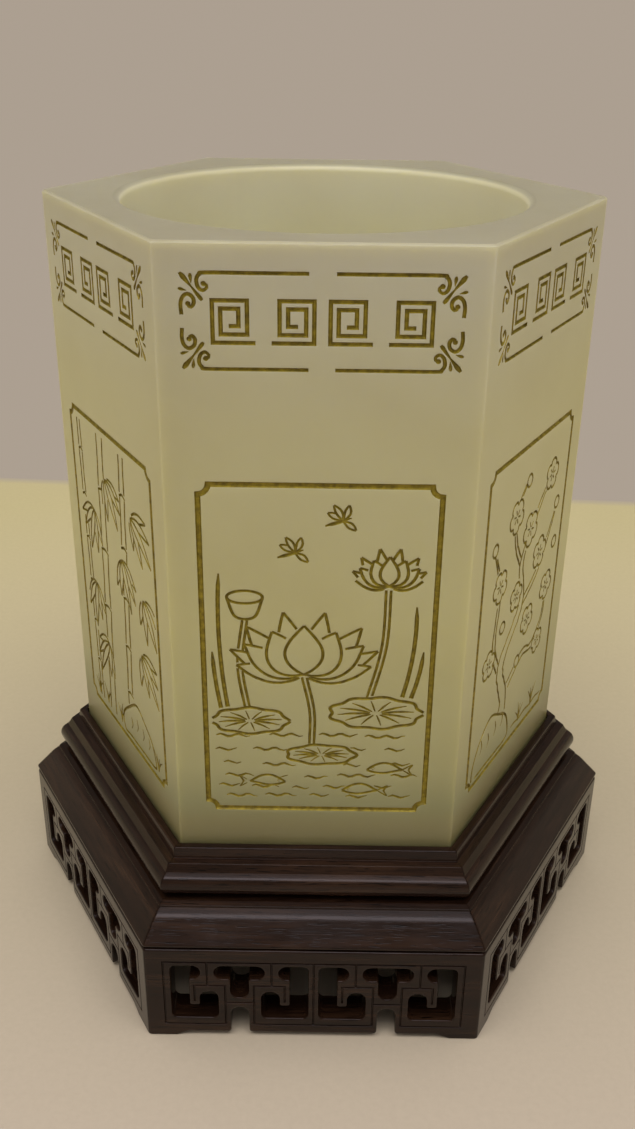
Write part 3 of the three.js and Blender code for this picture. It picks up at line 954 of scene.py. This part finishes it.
def draw_dragonfly(d, x, z):
    d.curve([(x - 2.6, z - 0.8), (x, z), (x + 1.8, z + 0.7)], 0.55)
    for across, up in ((-1.2, 3.0), (1.4, 3.0), (-2.2, 1.6), (2.6, -1.6)):
        middle = (x + 0.4 + 0.5 * across, z + 0.5 * up)
        d.leaf([(x + 0.4, z + 0.1), middle, (x + across, z + up)], 1.0, 1.2, 0.7, 0.36)


# Centre, radius, squash and waves of each floating leaf, the reach and squash of its veins, its pen
LOTUS_LEAVES = (
    ((10.6, 69.5), 8.3, 0.40, 9, 7.0, 0.38, 0.52),
    ((-12.2, 67.5), 6.9, 0.40, 8, 5.8, 0.38, 0.52),
    ((0.8, 60.2), 6.3, 0.34, 7, 5.2, 0.32, 0.5))
# Foot and tip of each reed, and how far its middle bends sideways
LOTUS_REEDS = (
    ((-16.2, 70.5), (-17.2, 97.5), -0.7), ((-17.4, 70.2), (-18.7, 82.0), -0.2),
    ((15.2, 73.0), (17.0, 91.5), 0.7), ((16.8, 72.8), (18.6, 82.5), 0.3))


def draw_lotus(d):
    """A lotus pond: an open flower among leaves, a bud, a seed head, reeds, and fish below."""
    draw = np.random.default_rng(21)
    for place, face in (((-9.0, 54.0), 1), ((8.0, 52.2), -1), ((12.5, 57.0), -1)):
        draw_fish(d, place, face)
    flower, bud, head = np.array([-2.5, 77.5]), np.array([12.0, 95.5]), np.array([-12.8, 93.0])
    draw_lotus_flower(d, flower, 13.5, 0.86)
    draw_lotus_flower(d, bud, 6.5, 1.0)
    d.shape(ring(head, 3.1, 0.4))
    cup = np.array([(-3.1, -0.2), (-1.6, -3.9), (1.6, -3.9), (3.1, -0.2)])
    d.shape(spline(head + cup), 0.46)
    in_front = list(d.shapes)
    for centre, radius, squash, waves, _, _, pen in LOTUS_LEAVES:
        d.shape(ring(centre, radius, squash, waves, 0.05), pen)
    everything, d.shapes = d.shapes, in_front
    for centre, _, _, _, reach, squash, _ in LOTUS_LEAVES:
        for heading in np.arange(8, 360, 30):
            way = towards(heading, reach, squash)
            d.curve([centre + 0.16 * way, centre + 0.6 * way + (0, 0.12), centre + way], 0.4)
    d.shapes = everything
    for top, foot, bow in ((flower, (-1.0, 61.5), 0.8), (bud - (0, 0.2), (9.0, 71.5), 1.1),
                           (head - (0, 4.0), (-12.5, 69.5), -1.2)):
        for side in (-0.42, 0.42):
            stem = np.array([top, (top + foot) / 2 + (bow, 0), foot])
            d.curve(stem + (side, 0), 0.42, EVEN)
    t = np.linspace(0, 1, 7)[:, None]
    for foot, tip, bow in LOTUS_REEDS:
        reed = foot + np.subtract(tip, foot) * t + np.array((bow, 0)) * 4 * t * (1 - t)
        d.curve(reed, 0.62, (1.1, 0.35))
    draw_dragonfly(d, -4.5, 101.5)
    draw_dragonfly(d, 3.5, 107.5)
    draw_water(d, (50.6, 52.8, 55.4, 58.2, 61.3, 64.4), draw)


# Root of each leaf spray and its heading, then the lean and length of a spray's leaves
BAMBOO_SPRAYS = (
    ((-3, 104), -60), ((9.5, 101), -35), ((-10.5, 95), -110), ((3.5, 90), -75),
    ((13.5, 86), -60), ((-12.5, 78), -100), ((11, 73), -50), ((-7.5, 66), -120))
BAMBOO_LEAVES = ((0, 10.5), (-24, 9.0), (24, 9.0), (-46, 7.0), (46, 7.2))
# Foot, head, width and length of the joints of each cane
BAMBOO_CANES = (
    ((-8, 49), (-4.5, 113), 3.2, 13.0),
    ((2.5, 49), (6.5, 113), 2.4, 11.0),
    ((-14.5, 49), (-16, 113), 1.7, 9.5))


def draw_bamboo(d):
    """Three canes with leaf sprays, over a stone and grass."""
    draw = np.random.default_rng(22)
    draw_rock(d, (7.5, 50.3), 17, 8.5, draw)
    for root, heading in BAMBOO_SPRAYS:
        for lean, length in BAMBOO_LEAVES:
            way = towards(heading + lean + draw.uniform(-5, 5), length * draw.uniform(0.85, 1.1))
            d.leaf([root, root + 0.5 * way + (0, 0.5), root + way], 1.9, 0.75, 1.2)
    for foot, head, width, pitch in BAMBOO_CANES:
        cane = np.subtract(head, foot)
        joint = cane * pitch / cane[1]
        for k in range(int(cane[1] / pitch) + 1):
            low, high = foot + k * joint + (0, 0.5), foot + (k + 1) * joint - (0, 0.5)
            for side in (-0.5 * width, 0.5 * width):
                waist = (low + high) / 2 + (0.86 * side, 0)
                d.curve([low + (side, 0), waist, high + (side, 0)], 0.5, EVEN, step=1.5)
            node = (-0.62 * width, 0.2), (0, 0.75), (0.62 * width, 0.2)
            d.curve(high + np.array(node), 0.5, (0.8, 0.8))
    draw_grass(d, (-16.0, -11.0, -3.0, 16.5), 49.6, draw)


def draw_blossom(d, centre, size, turn):
    """Five round petals about a heart, with stamens."""
    for k in range(6):
        way = towards(turn + 60 * k, size)
        d.line(np.linspace(centre + 0.12 * way, centre + 0.46 * way, 4), 0.34, EVEN)
    angle = np.radians(np.arange(0, 360, 9.0))
    r = size * (0.70 + 0.30 * np.abs(np.cos(2.5 * angle)) ** 0.5)
    angle = angle + math.radians(turn)
    d.shape(centre + np.stack([r * np.cos(angle), r * np.sin(angle)], axis=1))


PLUM_BLOSSOMS = (
    ((-6, 101), 3.4), ((2, 95.5), 3.6), ((11.5, 103.5), 3.2), ((8.5, 88), 3.4), ((-11.5, 89), 3.3),
    ((14.5, 78), 3.2), ((-2.5, 83), 3.0), ((-14, 73.5), 3.0), ((5, 74.5), 3.2), ((12.5, 66), 2.8))
PLUM_BUDS = (-1, 106.5), (16, 96), (-15.5, 98), (1.5, 66.5), (16.8, 87), (-8.5, 79)
# The spine of each limb, and how thick it is at its foot and its tip
PLUM_LIMBS = (
    (((-8, 49.5), (-4.5, 60), (-7.5, 70), (0.5, 80), (-1, 90), (6, 99), (11, 103)), 3.8, 0.8),
    (((-6.5, 66), (-12, 76), (-11.5, 88), (-15.5, 98)), 1.7, 0.5),
    (((-1, 79), (8, 84), (14, 92), (16, 96)), 1.7, 0.5),
    (((-5, 62), (4, 67), (9, 66.5), (14, 71), (14.5, 78)), 1.9, 0.5),
    (((-1, 89), (-5, 95), (-6, 102), (-1.5, 107)), 1.3, 0.4))


def draw_plum(d):
    """An old plum branch in flower that rises from a stone."""
    draw = np.random.default_rng(23)
    for place, size in PLUM_BLOSSOMS:
        draw_blossom(d, place, size, draw.uniform(0, 72))
    for place in PLUM_BUDS:
        d.shape(ring(place, 1.25), 0.42)
    draw_rock(d, (-9.0, 50.3), 19, 10.0, draw)
    for spine, thick, thin in PLUM_LIMBS:
        d.shape(branch(spine, thick, thin, 0.16, draw)[2], 0.46)
    draw_grass(d, (6.0, 13.0), 49.6, draw)
    d.line(wavy(2.0, 18.8, 50.2, 0.2, 6.0), 0.42)


def draw_slat(d, low, high, count):
    """A fence slat between two corners: its two long edges of so many points, and what it hides."""
    corners = np.array([low, (high[0], low[1]), high, (low[0], high[1])])
    upright = high[1] - low[1] > high[0] - low[0]
    for start, end in ((0, 3), (1, 2)) if upright else ((0, 1), (3, 2)):
        d.line(np.linspace(corners[start], corners[end], count), 0.46, EVEN)
    d.shapes.append(corners)


# Centre, size and foot of each flower, then the reach, count and root of its rings of petals
CHRYSANTHEMUMS = (
    ((-4, 92), 9.0, (-1.5, 49)), ((9.5, 76.5), 7.6, (6.5, 49)), ((-10.5, 70.5), 6.4, (-8.5, 49)))
CHRYSANTHEMUM_RINGS = ((0.45, 8, 0.05), (0.74, 13, 0.25), (1.0, 17, 0.42))
CHRYSANTHEMUM_LEAVES = (
    ((1.5, 82), 30), ((-9.5, 81.5), 150), ((2, 70), -20), ((-3.5, 63.5), 200), ((13, 64.5), 10),
    ((-15, 62.5), 170), ((4.5, 62), 150))


def draw_chrysanthemum(d):
    """Three many-petalled flowers on leafy stems behind a low fence."""
    draw = np.random.default_rng(24)
    for centre, size, _ in CHRYSANTHEMUMS:
        for reach, count, root in CHRYSANTHEMUM_RINGS:
            for k in range(count):
                heading = 360 * (k + 0.5 * (count % 3)) / count
                way, bend = towards(heading, size, 0.86), towards(heading + 90, 0.08 * size)
                middle = centre + (0.6 * reach + 0.15 * root) * way + bend
                d.leaf([centre + root * way, middle, centre + reach * way], 0.27 * size * reach, 0.9, pen=0.4)
    for x in (-15.0, -5.0, 5.0, 15.0):
        draw_slat(d, (x - 0.7, 49.0), (x + 0.7, 60.0), 9)
    for z in (53.0, 57.3):
        draw_slat(d, (-18.9, z - 0.5), (18.9, z + 0.5), 40)
    for start, heading in CHRYSANTHEMUM_LEAVES:
        way = towards(heading, 6.5)
        middle = start + 0.5 * way
        d.curve([start, middle, start + way], 0.4)
        outline = blade([start, middle + (0, 0.3), start + way], 4.6, 0.8, 0.8)
        lobes = 1 + 0.22 * np.cos(np.arange(len(outline)) * 1.9)
        d.shape(middle + (outline - middle) * lobes[:, None])
    for (x, z), size, foot in CHRYSANTHEMUMS:
        d.curve([(x, z - 0.8 * size), ((x + foot[0]) / 2 - 1.0, 66.0), foot], 0.6, EVEN)
    draw_grass(d, (-16.5, 0.5, 10.5), 49.4, draw, 3.2)
    for x, z in ((8.0, 101.0), (13.0, 106.0)):
        for hand in (-1, 1):
            d.leaf([(x, z), (x + 1.4 * hand, z + 1.6), (x + 2.8 * hand, z + 2.0)], 1.6, 1.2, 0.7, 0.4)


PINE_FANS = (
    ((-9.5, 101), 6.4), ((2, 104), 6.0), ((-15, 92), 5.0), ((-3.5, 93.5), 6.2), ((9.5, 93), 5.6),
    ((15, 83), 5.0), ((4.5, 83.5), 5.6), ((-12.5, 80.5), 5.2))
PINE_TRUNK = (8, 49.5), (5.5, 60), (-1.5, 70), (-5, 80), (-2, 89), (-5.5, 99)
# The spine of each bough, and how thick it is at its foot and its tip
PINE_BOUGHS = (
    (((-3.5, 75), (3, 79), (9, 84), (14, 83)), 2.2, 0.7), (((-5, 78), (-9, 82.5), (-14, 90)), 2.0, 0.7))
PINE_HILLS = (
    ((-19, 62), (-14, 68.5), (-10, 64.5), (-5, 71), (0, 65)), ((3, 66), (9, 73), (13, 68), (19, 74)),
    ((-19, 58.5), (-12, 61.5), (-4, 59), (3, 61)))


def draw_pine(d):
    """A leaning pine with fans of needles, a round sun, and hills over water."""
    draw = np.random.default_rng(25)
    for centre, size in PINE_FANS:
        for heading in np.arange(6, 180, 14.5):
            way = towards(heading, size, 0.72)
            d.line(np.linspace(centre + 0.15 * way, centre + 0.88 * way, 5), 0.38)
        base = centre + np.array([(-0.5 * size, -0.7), (0.5 * size, -0.7)])
        d.shape(np.vstack([ring(centre, size, 0.72, start=0, end=180), base]), 0.46)
    line, reach, outline = branch(PINE_TRUNK, 5.0, 1.6, 0.12, draw)
    for k in range(2, len(line) - 4, 3):
        scale = line[k] + 0.35 * reach[k] * (1 if k % 2 else -1)
        d.line(ring(scale, 1.1, 0.8, start=20, end=210, step=0.4), 0.38)
    d.shape(outline, 0.48)
    for spine, thick, thin in PINE_BOUGHS:
        d.shape(branch(spine, thick, thin, 0.12, draw)[2], 0.48)
    draw_rock(d, (9.0, 50.0), 18, 7.0, draw)
    d.shape(ring((12.5, 104.0), 3.6), 0.5)
    for hill in PINE_HILLS:
        d.curve(hill, 0.46)
    draw_water(d, (51.0, 53.4, 55.8), draw)


ORCHID_FLOWERS = (-11.5, 92), (-4, 99.5), (8, 95), (13.5, 84), (1.5, 84.5)
# Heading and length of each petal, then the middle and tip of each leaf
ORCHID_PETALS = ((95, 4.6), (35, 4.2), (150, 4.2), (-35, 3.6), (-110, 3.4))
ORCHID_LEAVES = (
    ((-16, 74), (-18.5, 66)), ((-13, 84), (-17.5, 80)), ((-7, 90), (-10, 97)), ((-2, 88), (3, 104)),
    ((6, 86), (13, 96)), ((12, 78), (18, 74)), ((14, 68), (18.5, 60)), ((-10, 66), (-15, 60)))


def draw_orchid(d):
    """Arching orchid leaves and flower stems beside a tall stone."""
    draw = np.random.default_rng(26)
    for heart in ORCHID_FLOWERS:
        for heading, length in ORCHID_PETALS:
            way = towards(heading + draw.uniform(-12, 12), length)
            d.leaf([heart, heart + 0.5 * way + (0, 0.3), heart + way], 1.5, 0.85, pen=0.42)
    root = np.array([-1.5, 53.5])
    for middle, tip in ORCHID_LEAVES:
        start = root + (draw.uniform(-2.5, 2.5), 0)
        d.leaf([start, (start + middle) / 2 + (0, 2.0), middle, tip], 1.7, 0.7, 1.4)
    for heart in ORCHID_FLOWERS:
        d.curve([heart, (heart + root) / 2 + (0.8, 3.0), root], 0.5, EVEN)
    draw_rock(d, (10.5, 50.3), 15, 15.0, draw)
    draw_rock(d, (-12.5, 50.3), 12, 5.5, draw)
    draw_grass(d, (-6.0, 2.0), 49.6, draw)
    d.line(wavy(-18.8, 18.8, 49.9, 0.2, 8.0), 0.42)


PICTURES = (draw_lotus, draw_plum, draw_chrysanthemum, draw_pine, draw_orchid, draw_bamboo)

# The frame line round a picture
FRAME_SIDE, FRAME_LOW, FRAME_HIGH, FRAME_NOTCH, FRAME_HALF = 20.27, 47.75, 113.95, 1.75, 0.5


def draw_frame(d):
    """The line round the picture, with a concave quarter round at each corner."""
    quarter = np.radians(np.linspace(0, 90, 6))
    bite = FRAME_NOTCH * np.stack([np.cos(quarter), np.sin(quarter)], axis=1)
    outline = np.concatenate([
        (-FRAME_SIDE, FRAME_LOW) + bite[::-1], (FRAME_SIDE, FRAME_LOW) + bite * (-1, 1),
        (FRAME_SIDE, FRAME_HIGH) - bite[::-1], (-FRAME_SIDE, FRAME_HIGH) + bite * (1, -1)])
    d.strokes.append((outline, np.full(len(outline), FRAME_HALF), True))


# The upper panel. A corner is drawn as its lower left one, from the panel's corner.
PANEL_HALF_WIDTH, PANEL_MIDDLE, PANEL_HALF_HEIGHT = 22.15, 141.0, 7.85
PANEL_CURLS = (
    ((20.05, 0.35), (12.0, 0.35), (4.3, 0.35), (3.4, 0.6), (2.95, 1.45), (3.2, 2.6), (3.9, 3.05), (4.5, 2.6),
     (4.4, 2.05)),
    ((0.5, 6.8), (0.42, 5.2), (0.75, 4.1), (1.5, 3.6), (2.3, 4.1), (2.45, 5.0), (2.0, 5.6), (1.5, 5.4)))
PANEL_STALK = ((0.4, 0.35), (2.15, 2.5), (3.75, 4.6))
PANEL_PETALS = (((2.0, 0.45), (2.15, 2.0), 0.6), ((0.1, 2.75), (1.4, 3.1), 0.55))
PANEL_DOTS = ((4.45, 2.15), (3.6, 1.9)), ((1.75, 5.45), (1.35, 4.75))
SPIRAL = (
    (-1, -1), (1, -1), (1, 1), (-0.62, 1), (-0.62, -0.6), (0.62, -0.6), (0.62, 0.62), (-0.22, 0.62),
    (-0.22, -0.2), (0.24, -0.2))
SPIRAL_COUNT, SPIRAL_PITCH, SPIRAL_SIZE, SPIRAL_HALF = 4, 9.1, 3.3, 0.35


def panel_corner():
    """The strokes of one corner: a broken line and an upright that both end in a curl, a stalk
    between them, and petals and dots beside it."""
    strokes = []
    for curl in PANEL_CURLS:
        path = spline(curl, 0.35)
        strokes.append((path, np.interp(np.linspace(0, 1, len(path)), [0, 0.85, 1], [0.31, 0.32, 0.24])))
    stalk = spline(PANEL_STALK, 0.4)
    half = np.interp(np.linspace(0, 1, len(stalk)), [0, 0.12, 0.5, 0.92, 1], [0.22, 0.45, 0.15, 0.36, 0.2])
    strokes.append((stalk, half))
    for start, end, width in PANEL_PETALS:
        strokes.append((np.linspace(start, end, 5), width / 2 * np.array([0.5, 1.0, 0.85, 0.5, 0.15])))
    for start, end in PANEL_DOTS:
        strokes.append((np.linspace(start, end, 6), np.array([0.2, 0.32, 0.42, 0.42, 0.34, 0.16])))
    return strokes


def draw_panel(d):
    """The upper panel: broken lines above and below, a scroll at each corner, and a run of square
    spirals between them."""
    for across in (-1, 1):
        for up in (-1, 1):
            for path, half in panel_corner():
                x = across * (path[:, 0] - PANEL_HALF_WIDTH)
                z = PANEL_MIDDLE + up * (PANEL_HALF_HEIGHT - path[:, 1])
                d.strokes.append((np.stack([x, z], axis=1), half, False))
    for k in range(SPIRAL_COUNT):
        start = np.array([(k - (SPIRAL_COUNT - 1) / 2) * SPIRAL_PITCH, PANEL_MIDDLE])
        path = start + SPIRAL_SIZE * np.array(SPIRAL) * (1 if k % 2 else -1, 1)
        d.strokes.append((path, np.full(len(path), SPIRAL_HALF), False))


GROOVE_DEEPEST = 0.34


def engrave(pot, gilt, jade):
    """Cuts every stroke of the six faces into the pot. The cut walls carry the gilding."""
    cutters = new_collection("engraving_cutters")
    for side, picture in enumerate(PICTURES):
        d = Drawing(PICTURE_LOW, PICTURE_HIGH)
        picture(d)
        draw_frame(d)
        draw_panel(d)
        for k, (path, half, closed) in enumerate(d.strokes):
            floor = np.maximum(0.35 * half, half - 0.22)
            depth = np.minimum(GROOVE_DEEPEST, 1.1 * half)
            points, faces = sweep(path, half, floor, depth, -POT_APOTHEM, closed, lift=0.1)
            cutter(f"stroke_{side}_{k}", around(points, side), faces, cutters, GILT_INDEX, (jade, gilt))
    return carve(pot, cutters)


def make_pot(jade, gilt):
    points, faces = pot_surface()
    pot = build("jade_pot_engraved", points * MM, faces, [jade, gilt], "pot", "jade_pot")
    finish_mesh(engrave(pot, gilt, jade), None, 30.0)
    return pot


def make_stand(rosewood, block_wood):
    place_ring("top_rail", *mitred_bar(top_rail_profile(), 0.45), rosewood, 11)
    place_ring("lower_moulding", *mitred_bar(lower_moulding_profile(), 0.75), rosewood, 12)
    place_ring("apron", *make_apron(), rosewood, 13)
    for name, piece in frame["nodes"].items():
        if name == "seat_board" or name.startswith("corner_block"):
            piece.data.materials.clear()
            piece.data.materials.append(block_wood)


# Stage

TABLE_NEAR, TABLE_FAR = (0.450, 0.378, 0.318, 1), (0.470, 0.410, 0.225, 1)
TABLE_SPECK = (0.1, 0.08, 0.06, 1)
TABLE_EDGE, TABLE_SKEW, TABLE_REACH = 0.2185, 0.0611, 6.0
WALL = (0.412, 0.347, 0.282, 1)


def make_floor():
    """A pale table, yellower towards its far edge. To the camera it ends there, along a line that
    runs slightly askew, and the wall's tone takes over."""
    mesh = bpy.data.meshes.new("floor")
    corners = [(x * TABLE_REACH, y * TABLE_REACH, 0) for x, y in ((-1, -1), (1, -1), (1, 1), (-1, 1))]
    mesh.from_pydata(corners, [], [(0, 1, 2, 3)])
    material, tree, shader = new_material("floor")
    place = object_place(tree)
    split = parts_of(tree, place)
    colour = mix_colour(tree, map_range(tree, split["Y"], -0.12, 0.2), TABLE_NEAR, TABLE_FAR)
    specks = map_range(tree, noise(tree, place, 700.0, 3.0, 0.7), 0.3, 0.7, 0.0, 0.06)
    colour = mix_colour(tree, specks, colour, TABLE_SPECK)
    feed(tree, shader, {"Base Color": colour, "Roughness": 0.55, "Specular IOR Level": 0.3})
    depth = calculate(tree, "ADD", split["Y"], calculate(tree, "MULTIPLY", split["X"], TABLE_SKEW))
    beyond = map_range(tree, depth, TABLE_EDGE - 0.002, TABLE_EDGE + 0.004)
    camera_ray = add_node(tree, "ShaderNodeLightPath").outputs["Is Camera Ray"]
    wall = add_node(tree, "ShaderNodeEmission", {"Color": WALL, "Strength": 1.0})
    mixed = add_node(tree, "ShaderNodeMixShader", {
        "Fac": calculate(tree, "MULTIPLY", beyond, camera_ray),
        1: shader.outputs["BSDF"], 2: wall.outputs["Emission"]})
    feed(tree, tree.nodes["Material Output"], {"Surface": mixed.outputs["Shader"]})
    mesh.materials.append(material)
    floor = bpy.data.objects.new("floor", mesh)
    bpy.context.scene.collection.objects.link(floor)


# The room's light by the height of its direction, from straight down to straight up, and the
# factors on it by how far the direction points sideways
ROOM_HEIGHT = ((0.5, (0.230, 0.201, 0.170)), (0.75, (0.200, 0.176, 0.152)), (1.0, (0.200, 0.181, 0.163)))
ROOM_SIDES = ((0.60, (1.0, 1.0, 1.0)), (0.95, (2.1, 2.0, 1.85)))


def make_world():
    """Dim, warm room light, brighter towards the sides; the camera sees the plain wall instead."""
    world = bpy.data.worlds.new("soft_room")
    bpy.context.scene.world = world
    world.use_nodes = True
    tree = world.node_tree
    tree.nodes.clear()
    split = parts_of(tree, add_node(tree, "ShaderNodeTexCoord").outputs["Generated"])
    by_height = ramp(tree, map_range(tree, split["Z"], -1.0, 1.0), ROOM_HEIGHT)
    by_side = ramp(tree, calculate(tree, "ABSOLUTE", split["X"]), ROOM_SIDES)
    level = mix_colour(tree, 1.0, by_height, by_side, "MULTIPLY")
    room = add_node(tree, "ShaderNodeBackground", {"Color": level, "Strength": 1.0})
    wall = add_node(tree, "ShaderNodeBackground", {"Color": WALL, "Strength": 1.0})
    mixed = add_node(tree, "ShaderNodeMixShader", {
        "Fac": add_node(tree, "ShaderNodeLightPath").outputs["Is Camera Ray"],
        1: room.outputs["Background"], 2: wall.outputs["Background"]})
    add_node(tree, "ShaderNodeOutputWorld", {"Surface": mixed.outputs["Shader"]})


# Name, azimuth, elevation, size and power of each light. Polished surfaces mirror only the boxes,
# and the boxes light nothing else.
FILL_DISTANCE, FILL_AIM, FILL_COLOUR = 1.5, (0, 0, 0.07), (1.0, 0.98, 0.95)
FILLS = (
    ("left_wall", -60, 38, (3.0, 2.0), 6.4),
    ("right_wall", 60, 38, (3.0, 2.0), 6.0),
    ("left_top", -60, 68, (1.8, 0.5), 6.6),
    ("right_top", 60, 68, (1.8, 0.5), 6.0),
    ("front_top", 0, 68, (1.8, 0.5), 9.6),
    ("back_top", 180, 50, (2.3, 1.1), 6.5),
)
BOX_DISTANCE, BOX_AIM, BOX_COLOUR = 1.25, (0, 0, 0.03), (1.0, 0.91, 0.98)
BOXES = (("soft_box", 0, 47, (1.0, 0.33), 3.9), ("ceiling_glow", 0, 68, (1.2, 0.5), 1.9))


def add_light(name, azimuth, elevation, size, power, distance, aim, colour):
    """A soft light above the table, its azimuth counted from the front towards the right."""
    data = bpy.data.lights.new(name, "AREA")
    data.shape = "RECTANGLE"
    data.size, data.size_y = size
    data.energy = power
    data.color = colour
    light = bpy.data.objects.new(name, data)
    turn, rise = math.radians(azimuth), math.radians(elevation)
    place = distance * Vector((
        math.cos(rise) * math.sin(turn), -math.cos(rise) * math.cos(turn), math.sin(rise)))
    facing = (Vector(aim) - place).to_track_quat("-Z", "Y").to_matrix().to_4x4()
    light.matrix_world = Matrix.Translation(place) @ facing
    bpy.context.scene.collection.objects.link(light)
    return light


def make_lights():
    """Two wide dim fills at the sides and four higher ones all round, then two soft boxes in front:
    a low bright one and a dim one above it."""
    for fill in FILLS:
        add_light(*fill, FILL_DISTANCE, FILL_AIM, FILL_COLOUR).visible_glossy = False
    for box in BOXES:
        add_light(*box, BOX_DISTANCE, BOX_AIM, BOX_COLOUR).visible_diffuse = False


def main():
    make_camera()
    handling = make_handling_group()
    jade = make_jade(handling)
    gilt = make_gilt()
    rosewood = make_rosewood("rosewood", handling)
    block_wood = make_rosewood("block_wood", handling, carried=True)
    make_pot(jade, gilt)
    make_stand(rosewood, block_wood)
    make_floor()
    make_world()
    make_lights()
    bpy.context.scene.view_settings.view_transform = "Standard"


main()
